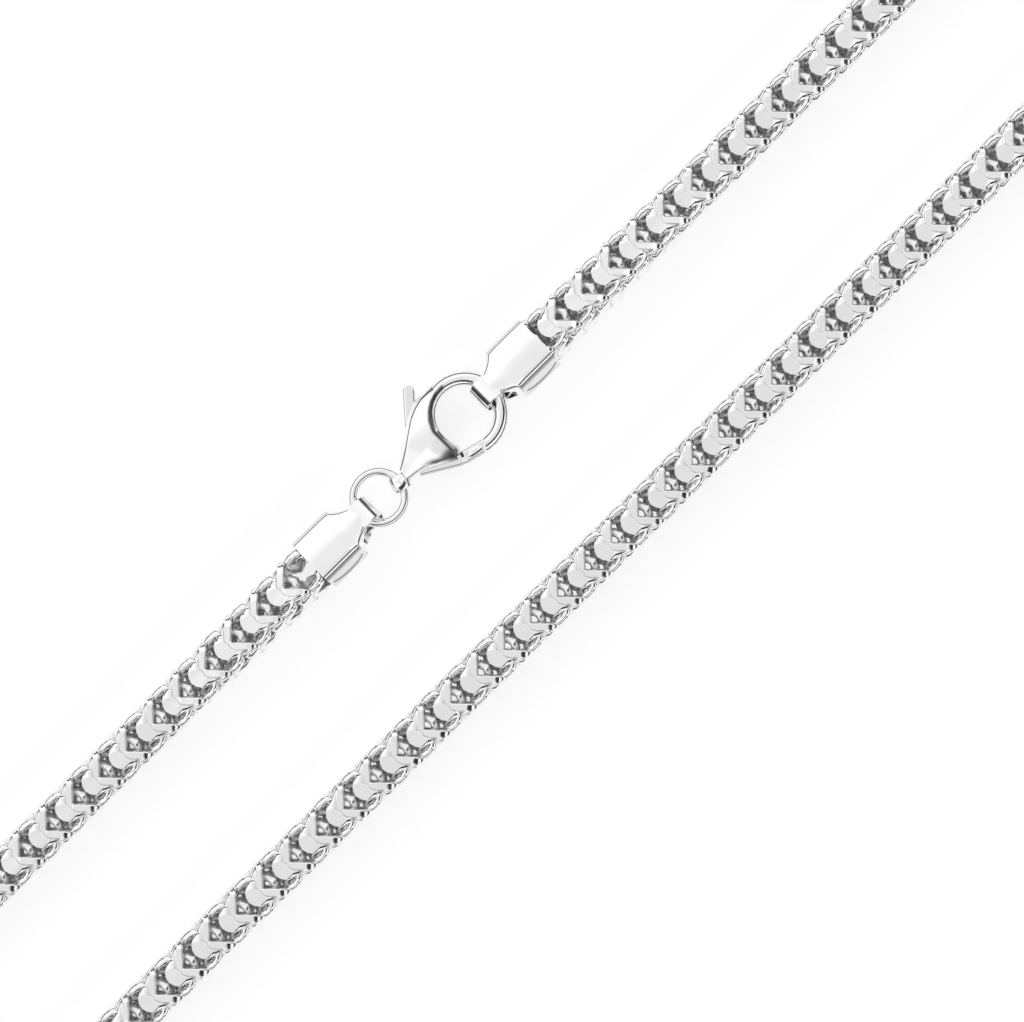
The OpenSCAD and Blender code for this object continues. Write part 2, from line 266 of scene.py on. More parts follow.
def silver(name, tone, dull_tone, roughness, dull_roughness, line_scale, line_depth, patch_scale):
    """Polished silver. The bloom takes it part of the way to the dull tone and roughness."""
    made = bpy.data.materials.new(name)
    made.use_nodes = True
    tree = made.node_tree
    shader = tree.nodes["Principled BSDF"]
    shader.inputs["Metallic"].default_value = 1.0
    lines = add_node(tree, "ShaderNodeGroup", node_tree=hairlines)
    set_sockets(tree, lines, {"Scale": line_scale})
    patch = add_node(tree, "ShaderNodeGroup", node_tree=bloom)
    set_sockets(tree, patch, {"Scale": patch_scale, "Depth": BLOOM_SHARE})
    mask = patch.outputs["Mask"]
    colour = add_node(tree, "ShaderNodeMix", data_type="RGBA")
    set_sockets(tree, colour, {0: mask, 6: (tone, tone, tone, 1),
                               7: (dull_tone, dull_tone, dull_tone, 1)})
    bump = add_node(tree, "ShaderNodeBump")
    set_sockets(tree, bump, {"Height": lines.outputs["Height"], "Strength": BUMP_STRENGTH,
                             "Distance": line_depth})
    set_sockets(tree, shader, {
        "Base Color": colour.outputs[2],
        "Roughness": blend_value(tree, mask, roughness, dull_roughness),
        "Normal": bump.outputs["Normal"]})
    return made


def darken_by_depth(made, deep_tone, deep_roughness, deep_metal=1.0):
    """Mixes in a deep tone, roughness and metal share where "depth" says so. On the caps and the
    clasp the deep tone is painted shade.
    """
    tree = made.node_tree
    shader = tree.nodes["Principled BSDF"]
    fair = shader.inputs["Base Color"].links[0].from_socket
    depth = add_node(tree, "ShaderNodeAttribute", attribute_name="depth").outputs["Fac"]
    deep = add_node(tree, "ShaderNodeMix", data_type="RGBA")
    set_sockets(tree, deep, {0: depth, 6: fair, 7: (*deep_tone, 1)})
    tree.links.new(deep.outputs[2], shader.inputs["Base Color"])
    smooth = shader.inputs["Roughness"].links[0].from_socket
    tree.links.new(blend_value(tree, depth, smooth, deep_roughness), shader.inputs["Roughness"])
    tree.links.new(blend_value(tree, depth, 1.0, deep_metal), shader.inputs["Metallic"])


def set_depth(made, depth):
    """Gives the points of a piece their depth, from 0 where the silver keeps its finish to 1
    where it is darkest, which on the caps and the clasp is painted shade.
    """
    store = made.data.attributes.new("depth", "FLOAT", "POINT")
    store.data.foreach_set("value", depth.astype(np.float32))


def points_of(made):
    """The points of a piece as an array, one row each."""
    points = np.empty(3 * len(made.data.vertices))
    made.data.vertices.foreach_get("co", points)
    return points.reshape(-1, 3)


# %% The five silvers
wheel = dict(tone=0.95, dull_tone=0.90, line_scale=900.0, line_depth=0.004 * MM,
             patch_scale=260.0)
polished = silver("polished_silver", roughness=0.10, dull_roughness=0.20, **wheel)
cap_metal_and_shade = silver("cap_silver_and_painted_shade", roughness=0.10, dull_roughness=0.20, **wheel)
clasp_metal_and_shade = silver("clasp_silver_and_painted_shade", roughness=0.12, dull_roughness=0.22, **wheel)
pin_metal = silver("pin_silver", tone=0.86, dull_tone=0.75, roughness=0.18, dull_roughness=0.3,
                   line_scale=1500.0, line_depth=0.004 * MM, patch_scale=600.0)
chain_metal = silver("chain_silver", tone=0.95, dull_tone=0.88, roughness=0.09,
                     dull_roughness=0.18, line_scale=1600.0, line_depth=0.002 * MM,
                     patch_scale=500.0)
# The chain turns greyer, rougher and less metallic deep below its faces. On the caps and the
# clasp the deep tone is painted shade, near black.
darken_by_depth(chain_metal, deep_tone=(0.82, 0.82, 0.83), deep_roughness=0.50, deep_metal=0.35)
darken_by_depth(cap_metal_and_shade, deep_tone=(0.12, 0.12, 0.125), deep_roughness=0.35)
darken_by_depth(clasp_metal_and_shade, deep_tone=(0.05, 0.05, 0.055), deep_roughness=0.3)
silvers = polished, cap_metal_and_shade, clasp_metal_and_shade, pin_metal, chain_metal
print("silvers:", [made.name for made in silvers])

# %% [markdown]
# ## The chain's route
# The chain leaves the upper cap, turns back at the right end, runs the whole length in front
# and comes home to the lower cap. Its curvature is constant in pieces: a straight run, a
# spreading arc, a wide turn, an arc back. Adding the curvature up once gives the heading and
# adding that up gives the place, so a link can be put at any distance along the chain.

# %% Route from its lengths and radii
CHAIN_W = 3.95 * MM
NECKLACE_L = 508 * MM
RUN_GAP = 16.2 * MM
BEND_R = 12.2 * MM
EASE_R = 20 * MM
SINK_L = 22 * MM
CHAIN_GRIP = 3 * MM
CAP_ROLL = math.radians(13)
ROUTE_STEP = 0.05 * MM

cap_low, cap_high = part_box("end_cap_upper")
mouth_x = cap_high.x
cap_z = (cap_low.z + cap_high.z) / 2
run_y = RUN_GAP / 2
ease_a = math.acos((run_y + EASE_R) / (BEND_R + EASE_R))
turn_l = 2 * EASE_R * ease_a + BEND_R * (math.pi + 2 * ease_a)
run_x = (NECKLACE_L - 2 * turn_l) / 4
start_x = mouth_x - CHAIN_GRIP


def route_table():
    """Distance, x, y and heading along the centre line, by adding up the curvature."""
    bend_l = BEND_R * (math.pi + 2 * ease_a)
    ease_l = EASE_R * ease_a
    lengths = [run_x - start_x, ease_l, bend_l, ease_l, 2 * run_x,
               ease_l, bend_l, ease_l, run_x - start_x]
    curves = [0, 1 / EASE_R, -1 / BEND_R, 1 / EASE_R, 0, 1 / EASE_R, -1 / BEND_R, 1 / EASE_R, 0]
    ends = np.concatenate([[0], np.cumsum(lengths)])
    turned = np.concatenate([[0], np.cumsum(np.multiply(curves, lengths))])
    s = np.linspace(0, ends[-1], int(ends[-1] / ROUTE_STEP))
    step = s[1] - s[0]
    heading = np.interp(s, ends, turned)
    half = (heading[1:] + heading[:-1]) / 2
    x = start_x + np.concatenate([[0], np.cumsum(np.cos(half) * step)])
    y = run_y + np.concatenate([[0], np.cumsum(np.sin(half) * step)])
    return s, x, y, heading


route_s, route_x, route_y, route_h = route_table()
chain_l = route_s[-1]
print("chain length in mm:", round(chain_l / MM, 2),
      "end in mm:", round(route_x[-1] / MM, 2), round(route_y[-1] / MM, 2))


def eased(t):
    """0 up to 0 and 1 from 1 on, with a soft start and end between: 3 t squared - 2 t cubed."""
    t = np.clip(t, 0, 1)
    return t * t * (3 - 2 * t)


def held(s):
    """1 inside a cap, falling smoothly to 0 where the chain lies on the table."""
    return 1 - eased((np.minimum(s, chain_l - s) - CHAIN_GRIP) / SINK_L)


def on_route(s, a, b):
    """Points of the row frame for distance s along the chain, a across it and b above it."""
    lean = -CAP_ROLL * held(s)
    side = a * np.cos(lean) - b * np.sin(lean)
    rise = a * np.sin(lean) + b * np.cos(lean)
    heading = np.interp(s, route_s, route_h)
    middle = CHAIN_W / 2 + (cap_z - CHAIN_W / 2) * held(s)
    return np.stack([np.interp(s, route_s, route_x) - side * np.sin(heading),
                     np.interp(s, route_s, route_y) + side * np.cos(heading),
                     middle + rise], axis=-1)


# %% [markdown]
# ## The links
# A franco link is a closed wire ring bent like a saddle. Two V's lie on opposite faces of the
# chain, and where their arms turn over the chain's edges they meet in two eyes on the other
# two faces. The second family of links is turned a quarter turn and sits half a pitch on, so
# that each V rides over the legs of the eyes before it and each eye covers the tip of the V
# after it. One quarter of the ring is drawn here from its middle to the middle of its eye, and
# the other three are its reflections.

# %% One link
PITCH = 3.15 * MM

# Stations of a quarter link in millimetres: x along the chain, y across, z outward.
# "Front" is the edge towards the eye's end, "back" the edge towards the V's point.
front = np.array([[0.00, 0.00, 1.57], [0.10, 0.10, 1.57], [0.24, 0.25, 1.57], [0.48, 0.49, 1.57],
                  [0.82, 0.84, 1.57], [1.16, 1.14, 1.57], [1.46, 1.40, 1.52], [1.60, 1.63, 1.29],
                  [1.72, 1.15, 1.15], [1.99, 0.84, 1.07], [2.56, 1.00, 0.80], [2.98, 1.24, 0.00]])
back = np.array([[-2.05, 0.00, 1.57], [-2.00, 0.54, 1.57], [-1.76, 0.94, 1.57],
                 [-1.10, 1.10, 1.57], [-0.30, 1.38, 1.57], [0.34, 1.70, 1.57],
                 [0.82, 1.80, 1.32], [1.00, 1.56, 0.94], [1.25, 1.09, 0.69],
                 [1.70, 0.85, 0.47], [2.02, 1.00, 0.28], [2.14, 1.24, 0.00]])
thick = np.array([0.38, 0.38, 0.38, 0.38, 0.38, 0.38, 0.37, 0.35, 0.33, 0.32, 0.32, 0.32])
# Distances from the front edge to the flat that is cut on each arm, and how far the rounded
# border of the flat lies below it. Behind the flat comes the tongue, or the rim of the arm.
flat_start = np.array([0.22, 0.19, 0.17, 0.16, 0.17, 0.22, 0.30, 0.28, 0.26, 0.24, 0.26, 0.30])
flat_end = np.array([0.32, 0.50, 0.66, 0.70, 0.70, 0.66, 0.44, 0.42, 0.40, 0.44, 0.48, 0.54])
rim_drop = np.array([0.04, 0.03, 0.03, 0.03, 0.03, 0.03, 0.07, 0.10, 0.10, 0.10, 0.10, 0.10])
crest = np.array([1.74, 1.76, 1.72, 1.50, 1.10, 0.92, 0.66, 0.62, 0.58, 0.62, 0.66, 0.74])
RIM_W = 0.10
GROOVE_W, GROOVE_DEEP = 0.09, 0.05
FLOOR_IN = 0.18
CREST_SHARE = 0.62
CREST_SWELL = 0.02
V_STATIONS = 6
TONGUE_STATIONS = 4
TONGUE_STEP = 0.03
TONGUE_START = -1.70
TONGUE_END = -2.05
TONGUE_DIP = 0.95
# Places in a section: the borders of the flat, the groove and the borders of the tongue.
FLAT_SIDES, GROOVE_SIDE, TONGUE_SIDES = (2, 3), 4, (5, 6)


def unit(v):
    """Vectors of length one along the last axis."""
    return v / np.linalg.norm(v, axis=-1, keepdims=True)


def quarter_link():
    """Sections of a quarter link, stations by 10 by 3.

    Each section starts at the front side and goes over the rim, the flat, the groove behind it
    and the crest to the back side, and home along the floor. It stands on the line from the
    front to the back edge and on the outward direction, square to that line and the wire.
    """
    station = np.arange(len(thick))
    centre = (front + back) / 2
    mirrored = np.concatenate([centre[1:2] * [1, -1, 1], centre, centre[-2:-1] * [1, 1, -1]])
    wire = mirrored[2:] - mirrored[:-2]
    out = unit(np.cross(front - back, wire))
    out[:V_STATIONS] = (0, 0, 1)
    width = np.linalg.norm(back - front, axis=1)
    across = unit(back - front)
    tongue = station < TONGUE_STATIONS
    flat_high = thick - np.where(station == 0, TONGUE_STEP, 0)
    crest_high = np.where(tongue, thick - TONGUE_STEP, CREST_SHARE * thick)
    groove = flat_end + np.where(tongue, GROOVE_W, RIM_W)
    past_groove = np.where(tongue, groove + GROOVE_W, (groove + crest) / 2)
    groove_high = thick - np.where(tongue, GROOVE_DEEP + TONGUE_STEP, rim_drop)
    past_high = np.where(tongue, crest_high, (groove_high + crest_high) / 2 + CREST_SWELL)
    along_w = np.stack([0 * width, flat_start - RIM_W, flat_start, flat_end, groove, past_groove,
                        crest, width, width - FLOOR_IN, 0 * width + FLOOR_IN], axis=1)
    high = np.stack([0 * thick, thick - rim_drop, flat_high, flat_high, groove_high, past_high,
                     crest_high, 0 * thick, -thick, -thick], axis=1)
    points = (front[:, None] + along_w[..., None] * across[:, None]
              + high[..., None] * out[:, None])
    past = np.clip((TONGUE_START - points[..., 0]) / (TONGUE_START - TONGUE_END), 0, 1)
    points[..., 2] -= TONGUE_DIP * past * past * (2 - past) * (points[..., 2] > 0)
    return points


def whole_link():
    """The closed ring of sections: a quarter and its three reflections, in metres."""
    q = quarter_link()
    up_right = q
    low_right = (q * [1, 1, -1])[::-1][1:]
    low_left = (q * [1, -1, -1])[1:]
    up_left = (q * [1, -1, 1])[::-1][1:-1]
    return np.concatenate([up_right, low_right, low_left, up_left]) * MM


link = whole_link()
link_rings, link_sides = link.shape[:2]
link_points = link_rings * link_sides
print("one link:", link_rings, "sections of", link_sides, "points")

# %% Its borders and recesses
DEPTH_TOP = 1.62
DEPTH_RANGE = 0.8


def from_v(ring):
    """How many sections these sections are from the middle of the nearer V."""
    half = link_rings // 2
    return np.minimum(ring % half, half - ring % half)


def sharp_borders(link_edges):
    """Which edges, given as pairs of point numbers of one link, border a flat or a tongue."""
    ring, side = np.divmod(link_edges, link_sides)
    far = from_v(ring).max(axis=1)
    first, same = side[:, 0], side[:, 0] == side[:, 1]
    on_flat = np.isin(first, FLAT_SIDES) & (far <= V_STATIONS)
    on_tongue = np.isin(first, TONGUE_SIDES) & (far < TONGUE_STATIONS)
    return same & (on_flat | on_tongue)


def link_depth():
    """Depth of a link's points: by their distance below the chain's faces, 1 in the groove."""
    face_far = np.abs(link[..., 1:]).max(axis=-1) / MM
    depth = np.clip((DEPTH_TOP - face_far) / DEPTH_RANGE, 0, 1)
    depth[from_v(np.arange(link_rings)) <= TONGUE_STATIONS, GROOVE_SIDE] = 1
    return depth.ravel()


def ring_faces(rings, sides):
    """Quads of a closed tube, rings by sides, that point outward."""
    i, j = np.meshgrid(np.arange(rings), np.arange(sides), indexing="ij")
    k, m = (i + 1) % rings, (j + 1) % sides
    return np.stack([i * sides + j, k * sides + j, k * sides + m, i * sides + m],
                    axis=-1).reshape(-1, 4)


# %% [markdown]
# The V's of all the runs that the picture shows point the same way across it, so the chain's
# direction changes once inside each of the two end turns. In the right turn the eyes of the two
# directions meet end to end, in the left turn the V's points do. A link's small errors are
# drawn from a seeded generator: real links lean by about a degree, and that makes their flats
# glint one by one.

# %% Links along the route
LINK_LEAN = math.radians(0.9)
TIP_REACH, EYE_REACH = 2.05 * MM, 2.90 * MM
EYE_JOINT, TIP_JOINT = 4.30 * MM, 2.55 * MM
LEAN_SEED = 7
rng = np.random.default_rng(LEAN_SEED)
half_pitch = PITCH / 2
to_turn = run_x - start_x + turn_l / 2


def link_places():
    """Distance along the chain, direction and family of every link."""
    # Each stretch has its end, its direction and the distance on to the next one's first link.
    stretches = [(to_turn - EYE_JOINT / 2, 1, EYE_JOINT),
                 (chain_l - to_turn - TIP_JOINT / 2, -1, TIP_JOINT),
                 (chain_l - EYE_REACH, 1, 0)]
    places, ways, first, laid = [], [], TIP_REACH, 0
    for last, way, joint in stretches:
        count = int((last - first) / half_pitch) + 1
        places.append(first + half_pitch * np.arange(count))
        ways.append(np.full(count, way))
        first = places[-1][-1] + joint
        laid += count
    return np.concatenate(places), np.concatenate(ways), np.arange(laid) % 2


link_s, link_way, link_kind = link_places()


def leaned_link(kind, tip):
    """A link of a family, turned by three small angles about its place: x, y and z arrays."""
    x, y, z = link[None, ..., 0], link[None, ..., 1], link[None, ..., 2]
    if kind:
        y, z = -z, y
    return (x + tip[0] * z + tip[1] * y,
            y - tip[1] * x - tip[2] * z,
            z - tip[0] * x + tip[2] * y)


def lay_links(name, kind):
    """One mesh of all the links of a family, each carried to its place on the route."""
    mine = link_kind == kind
    count = mine.sum()
    s0, way = link_s[mine, None, None], link_way[mine, None, None]
    x, y, z = leaned_link(kind, rng.normal(0, LINK_LEAN, (3, count, 1, 1)))
    points = on_route(s0 + way * x, way * y, z)
    points[..., 2] = points[..., 2].clip(0, None)
    faces = ring_faces(link_rings, link_sides)[None]
    faces = faces + np.arange(count)[:, None, None] * link_points
    made = mesh_piece(name, points.reshape(-1, 3), faces.reshape(-1, 4), chain_metal)
    made.data.shade_smooth()
    ends = np.empty(2 * len(made.data.edges), np.int32)
    made.data.edges.foreach_get("vertices", ends)
    sharp = made.data.attributes.new("sharp_edge", "BOOLEAN", "EDGE")
    sharp.data.foreach_set("value", sharp_borders(ends.reshape(-1, 2) % link_points))
    set_depth(made, np.tile(link_depth(), count))
    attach(made, "root")
    return made


upright_links = lay_links("chain_links_upright", 0)
level_links = lay_links("chain_links_level", 1)
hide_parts("chain")
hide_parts("chain")
print("links:", len(link_s), "triangles:",
      2 * (len(upright_links.data.polygons) + len(level_links.data.polygons)))

# %% [markdown]
# ## Closed shells
# Every other piece is made of closed skins. Their sections go all the way round, and their two
# ends are gathered to a point, led back inside or joined to each other. Points that fall
# together are merged, and the faces are turned outward at the end.

# %% Skins and their faces
import bmesh

MERGE_D = 0.0001 * MM


def skin_faces(rows, columns):
    """Quads between the rows of a grid whose columns close on themselves."""
    i, j = np.meshgrid(np.arange(rows - 1), np.arange(columns), indexing="ij")
    m = (j + 1) % columns
    return np.stack([i * columns + j, i * columns + m, (i + 1) * columns + m,
                     (i + 1) * columns + j], axis=-1).reshape(-1, 4)


def skin_piece(name, skins, metal, body, node=None, sharp_angle=40):
    """One smooth piece from closed skins, each a grid of rows by columns by 3 in metres."""
    points, faces, first = [], [], 0
    for skin in skins:
        rows, columns = skin.shape[:2]
        points.append(skin.reshape(-1, 3))
        faces.append(skin_faces(rows, columns) + first)
        first += rows * columns
    made = mesh_piece(name, np.concatenate(points), np.concatenate(faces), metal)
    shell = bmesh.new()
    shell.from_mesh(made.data)
    bmesh.ops.remove_doubles(shell, verts=shell.verts, dist=MERGE_D)
    bmesh.ops.recalc_face_normals(shell, faces=shell.faces)
    shell.to_mesh(made.data)
    shell.free()
    made.data.shade_smooth()
    made.data.set_sharp_from_angle(angle=math.radians(sharp_angle))
    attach(made, body)
    if node:
        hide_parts(node)
    print(name, "triangles:", sum(len(f.vertices) - 2 for f in made.data.polygons))
    return made


def closed_end(row):
    """The row gathered to its middle, which closes a skin."""
    return np.broadcast_to(row.mean(axis=0), row.shape)


def torus(ring_r, wire_r, around=96, section=24):
    """A ring of round wire about Z: the last row is the first one again."""
    turn = np.linspace(0, 2 * math.pi, around + 1)[:, None]
    bend = np.linspace(0, 2 * math.pi, section, endpoint=False)[None]
    reach = ring_r + wire_r * np.cos(bend)
    return np.stack([reach * np.cos(turn), reach * np.sin(turn),
                     wire_r * np.sin(bend) + 0 * turn], axis=-1)


# %% [markdown]
# ## End caps
# Each cap is stamped from thin sheet: a square box that grips the chain, a neck with hollow
# flanks, and a strap that is rolled into an eye. Pressing leaves the faces a little crowned,
# which is what shades them softly from white to grey, and an almond is dished into each side.
# The section is a square with round corners whose half sizes follow the cap's outline: hollow
# arcs seen from above, and one soft sweep from the eye up to the box seen from the side.

# %% Cap from its outline
CAP_FIT = 0.04 * MM
CAP_WALL = 0.16 * MM
CAP_EDGE_R = 0.45 * MM
CAP_BODY_L = 3.9 * MM
NECK_L = 1.8 * MM
FLANK_R = 4 * MM
STRAP_W = 2.2 * MM
STRAP_T = 0.25 * MM
CAP_EYE_R = 1.35 * MM
POCKET_L = 3.2 * MM
NECK_SINK = 0.05 * MM
DISH_L, DISH_H, DISH_D = 3.4 * MM, 2.2 * MM, 0.10 * MM
DISH_EDGE = 0.3 * MM
NECK_EASE = 0.9 * MM
CROWN, POCKET_CROWN = 0.060, 0.03
CROWN_REACH = 0.6
SIDE_FROM = 0.8
FLAT_POINTS, CORNER_POINTS = 37, 6

cap_in = CHAIN_W + 2 * CAP_FIT
cap_w = cap_in + 2 * CAP_WALL
eye_out = CAP_EYE_R + STRAP_T
neck_x = eye_out + NECK_L
cap_l = neck_x + CAP_BODY_L


def flank(x, half_at_eye):
    """Half size of the cap at x: a hollow arc from the eye to the box, then straight."""
    p, q = np.array([eye_out, half_at_eye]), np.array([neck_x, cap_w / 2])
    chord = q - p
    length = np.linalg.norm(chord)
    centre = (p + q) / 2 + (np.array([-chord[1], chord[0]]) / length
                            * math.sqrt(FLANK_R ** 2 - length ** 2 / 4))
    arc = centre[1] - np.sqrt(FLANK_R ** 2 - (np.clip(x, p[0], q[0]) - centre[0]) ** 2)
    return np.where(x >= neck_x, cap_w / 2, arc)


def neck_height(x):
    """Half height of the cap at x: the sheet rises from the eye to the box in a soft sweep."""
    low = eye_out - NECK_SINK
    return low + (cap_w / 2 - low) * eased((x - eye_out) / (NECK_L + NECK_EASE))


def square_section(flat_points=FLAT_POINTS):
    """Points round a square as (corner y, corner z, normal y, normal z), from -1 to 1.

    The first side and its corner are turned by a right angle three times.
    """
    run = np.linspace(-1, 1, flat_points)
    turn = np.linspace(0, math.pi / 2, CORNER_POINTS + 2)[1:-1]
    side = np.stack([run * 0 + 1, run, run * 0 + 1, run * 0], axis=1)
    corner = np.stack([turn * 0 + 1, turn * 0 + 1, np.cos(turn), np.sin(turn)], axis=1)
    quarters = [np.concatenate([side, corner])]
    for _ in range(3):
        y, z, normal_y, normal_z = quarters[-1].T
        quarters.append(np.stack([-z, y, -normal_z, normal_y], axis=1))
    return np.concatenate(quarters)


def cap_rows(x, half_y, half_z, edge_r, crown):
    """Sections at x with these half sizes: round-cornered squares with crowned sides."""
    corner_y, corner_z, normal_y, normal_z = square_section().T
    y = corner_y * (half_y - edge_r) + normal_y * edge_r
    z = corner_z * (half_z - edge_r) + normal_z * edge_r
    crowned_y = y * (1 + crown * (CROWN_REACH - (z / half_z) ** 2))
    crowned_z = z * (1 + crown * (CROWN_REACH - (y / half_y) ** 2))
    return np.stack(np.broadcast_arrays(x, crowned_y, crowned_z), axis=-1)


def almond_inside(points):
    """How far points of a side are inside the almond, where two discs overlap."""
    disc_r = (DISH_L ** 2 + DISH_H ** 2) / (4 * DISH_H)
    off = np.clip(np.abs(points[..., 0] - neck_x - CAP_BODY_L / 2), 0, disc_r)
    return np.sqrt(disc_r ** 2 - off ** 2) - (disc_r - DISH_H / 2) - np.abs(points[..., 2])


def dished(rows):
    """An almond pressed into both sides. Its soft border has the outline in the middle."""
    pressed = DISH_D * eased(almond_inside(rows) / DISH_EDGE + 0.5)
    side = np.abs(rows[..., 1]) > SIDE_FROM * cap_w / 2
    out = rows.copy()
    out[..., 1] -= np.sign(rows[..., 1]) * pressed * side
    return out


def eye_front(rows, eye_wall):
    """Moves a front row back onto the round wall of the eye."""
    out = rows.copy()
    out[..., 0] = eye_out + np.sqrt(np.clip(eye_wall ** 2 - out[..., 2] ** 2, 0, None))
    return out


# %% Sheet, strap and caps
STRAP_BITE = 0.6
STRAP_ROUND = 0.06 * MM
STRAP_ROWS = 73
NECK_EDGE = 0.7
CAP_ROWS = 96
LIP = 0.99
FRONT_SHARES = (0, 0.25, 0.5, 0.75, 0.92)
SETTLE_STEPS = 12


def cap_outside(x):
    """Sections of the sheet at x. Its edges are sharper at the neck."""
    edge = CAP_EDGE_R * (NECK_EDGE + (1 - NECK_EDGE) * np.clip((x - eye_out) / NECK_L, 0, 1))
    return dished(cap_rows(x, flank(x, STRAP_W / 2), neck_height(x), edge, CROWN))


def cap_skin():
    """The sheet box and neck: front on the eye's wall, outside, lip, pocket and its floor."""
    eye_wall = CAP_EYE_R + STRAP_BITE * STRAP_T
    start = np.full(len(square_section()), eye_out)
    # Each step moves every line of the neck's start closer to where it meets the eye's wall.
    for _ in range(SETTLE_STEPS):
        first = cap_rows(start, flank(start, STRAP_W / 2), neck_height(start),
                         CAP_EDGE_R * NECK_EDGE, CROWN)
        start = eye_front(first, eye_wall)[..., 0]
    outside = cap_outside(start + (cap_l - start) * np.linspace(0, 1, CAP_ROWS)[:, None])
    outside[-1] *= (1, LIP, LIP)
    pocket = cap_rows(np.array([[cap_l], [cap_l - POCKET_L]]), cap_in / 2, cap_in / 2,
                      CAP_EDGE_R, POCKET_CROWN)
    shrink = np.array([(1, share, share) for share in FRONT_SHARES])[:, None]
    front = eye_front(outside[:1] * shrink, eye_wall)
    floor = closed_end(pocket[-1])[None]
    return np.concatenate([front, outside, pocket, floor])


def strap_eye():
    """The rolled strap: a flat band with soft borders, round the eye's axis along Y."""
    turn = np.linspace(0, 2 * math.pi, STRAP_ROWS)[:, None]
    w, t, r = STRAP_W / 2, STRAP_T / 2, STRAP_ROUND
    y = np.array([-w, -w + r, w - r, w, w, w - r, -w + r, -w])[None]
    d = np.array([t - r, t, t, t - r, r - t, -t, -t, r - t])[None]
    reach = CAP_EYE_R + STRAP_T / 2 + d
    return np.stack([eye_out - reach * np.cos(turn), y + 0 * turn, reach * np.sin(turn)], axis=-1)


def placed_cap(skin, way):
    """Rolls a cap about its axis, turns it if way is -1 and puts it on the upper run."""
    lean = -way * CAP_ROLL
    x = skin[..., 0]
    y = skin[..., 1] * math.cos(lean) - skin[..., 2] * math.sin(lean)
    z = skin[..., 1] * math.sin(lean) + skin[..., 2] * math.cos(lean)
    return np.stack([way * (x + mouth_x - cap_l), run_y + way * y, cap_z + z], axis=-1)


def in_cap_frame(points, way):
    """Points of a placed cap back in the cap's own frame: placed_cap the other way round."""
    lean = -way * CAP_ROLL
    side, rise = way * (points[:, 1] - run_y), points[:, 2] - cap_z
    return np.stack([way * points[:, 0] - mouth_x + cap_l,
                     side * math.cos(lean) + rise * math.sin(lean),
                     rise * math.cos(lean) - side * math.sin(lean)], axis=-1)


# %% [markdown]
# The caps' sides carry painted shade: they are a little greyer than the tops, most of all near
# their edges and along the almond's border. Those painted dark lines draw the side.

# %% Painted shade on the sides
SIDE_SHADE, EDGE_SHADE, BORDER_SHADE = 0.20, 0.72, 0.95
SHADE_SOFT, BORDER_W, EDGE_BAND = 0.2 * MM, 0.14 * MM, 0.40 * MM


def painted_side_shade(in_cap):
    """Painted shade at points in a cap's frame: its sides, their edges and the almond's border.

    The edge's share grows from 0 at the band's width from the rounding to 1 at half of it.
    """
    on_side = np.clip((np.abs(in_cap[:, 1]) - cap_w / 2 + CAP_EDGE_R / 2) / SHADE_SOFT, 0, 1)
    on_box = np.clip((in_cap[:, 0] - neck_x) / SHADE_SOFT + 1, 0, 1)
    edge_far = cap_w / 2 - CAP_EDGE_R - np.abs(in_cap[:, 2])
    edge = np.clip(2 - 2 * edge_far / EDGE_BAND, 0, 1)
    border = np.exp(-(almond_inside(in_cap) / BORDER_W) ** 2)
    depth = np.maximum(SIDE_SHADE + (EDGE_SHADE - SIDE_SHADE) * edge, BORDER_SHADE * border)
    return depth * on_side * on_box


# Each cap's sheet gets the painted shade of its sides as its depth.
cap_skins = [cap_skin(), strap_eye()]
for node, way in (("end_cap_upper", 1), ("end_cap_lower", -1)):
    made = skin_piece(node + "_sheet", [placed_cap(skin, way) for skin in cap_skins], cap_metal_and_shade,
                      "root", node)
    set_depth(made, painted_side_shade(in_cap_frame(points_of(made), way)))

# %% [markdown]
# ## Jump ring
# A ring of round wire, soldered shut. Its size is read from the solid it stands for.

# %% Jump ring
ring_low, ring_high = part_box("jump_ring")
jump_wire_r = (ring_high.z - ring_low.z) / 2
jump_r = (ring_high.x - ring_low.x) / 2 - jump_wire_r
skin_piece("jump_ring_wire", [torus(jump_r, jump_wire_r) + np.array((ring_low + ring_high) / 2)],
           polished, "root", "jump_ring")

# %% [markdown]
# ## Clasp body
# The clasp is one casting: a barrel that takes the jump ring, a domed shell that narrows to
# it, and a round wire that carries on from the shell and bends round to the gate. The shell is
# worked out as a pillow between two edges, with a ridge that runs from the barrel to the dome.
# Its sizes are in millimetres, in a frame of its own with u along the clasp and w across it.

# %% Clasp frame
HOOK_U, HOOK_W = 7.6, 2.45
HOOK_IN_R, HOOK_WIRE_R = 2.35, 0.68
EYE_W = 0.3
BARREL_R, BARREL_HOLE_R, BARREL_L = 0.95, 0.66, 1.4
DOME_H, DOME_R = 1.95, 9.0
DOME_AT = (4.3, 1.3)
CLASP_DROP = 0.2
CLASP_SHIFT = 0.1
TIP_SLANT = math.radians(26)
RIM_L, RIM_HALF_T = 2.25, 1.15
HEEL_TURN = math.radians(15)
CASTING_SHARP = 50

hook_c = np.array([HOOK_U, HOOK_W])
hook_mid_r = HOOK_IN_R + HOOK_WIRE_R
clasp_turn = -math.atan(HOOK_W / (HOOK_U + jump_r / MM))
hook_place = np.array([mouth_x - cap_l + eye_out - hook_mid_r * MM,
                       run_y + CLASP_SHIFT * MM, cap_z - CLASP_DROP * MM])


def in_clasp(points):
    """From millimetres in the clasp's own frame (u along it, w across) to the row frame."""
    off = (np.asarray(points) - np.array([HOOK_U, HOOK_W, 0])) * MM
    c, n = math.cos(clasp_turn), math.sin(clasp_turn)
    return np.stack([off[..., 0] * c - off[..., 1] * n, off[..., 0] * n + off[..., 1] * c,
                     off[..., 2]], axis=-1) + hook_place


